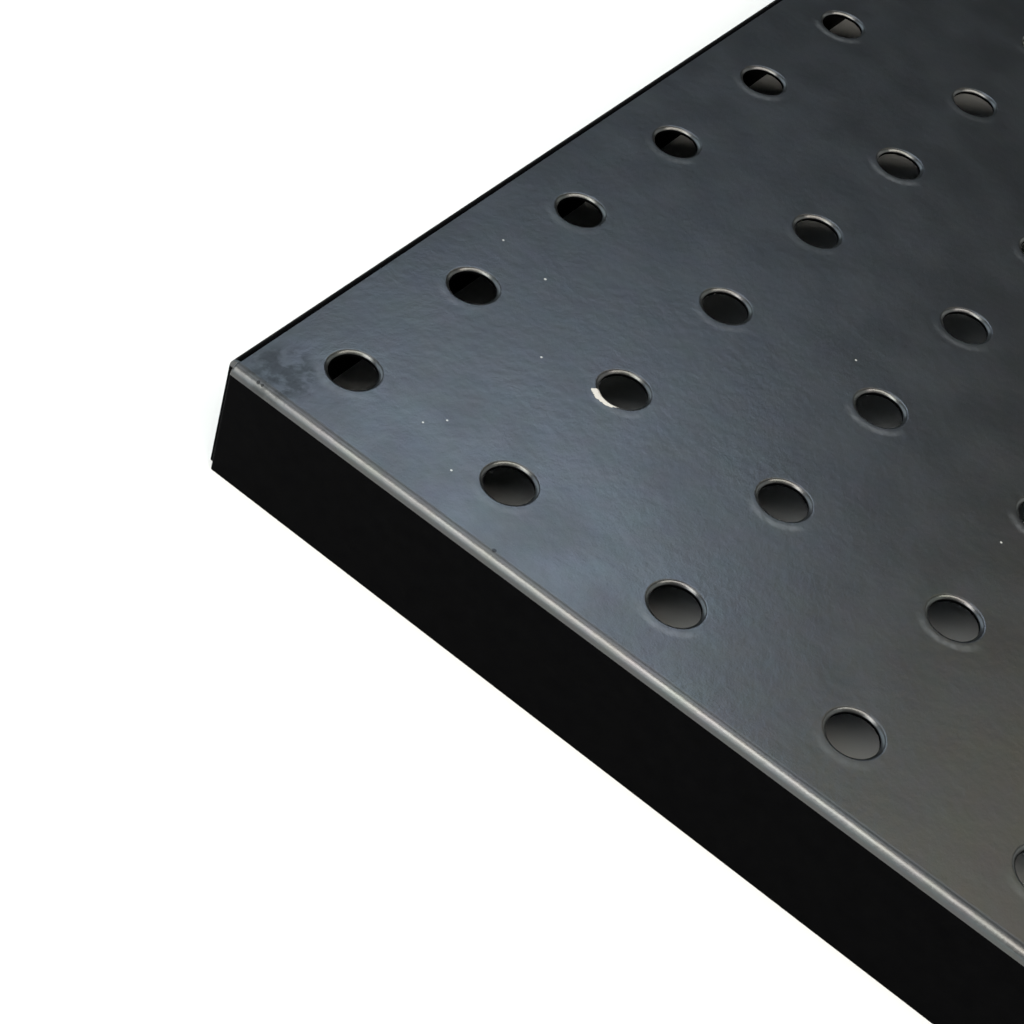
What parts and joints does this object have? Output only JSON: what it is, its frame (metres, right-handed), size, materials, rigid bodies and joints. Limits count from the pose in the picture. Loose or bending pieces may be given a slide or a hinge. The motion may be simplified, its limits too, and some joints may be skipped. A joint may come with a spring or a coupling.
{
  "type": "perforated steel panel",
  "caption": "Oblong perforated steel panel with a square grid of round peg holes and four edges folded down into shallow flanges, powder coated black.",
  "frame": {"origin": "the middle of the panel, level with the cut edges of the flanges that it rests on", "axes": "+Z out of the perforated face, +Y along its long folded edges, X along the short ones"},
  "size_m": [0.1504, 0.3028, 0.0191],
  "materials": {
    "black_powder_coat": "satin black powder coat with a fine orange peel"
  },
  "bodies": {
    "root": {"perforated_panel": "black_powder_coat"}
  },
  "joints": []
}
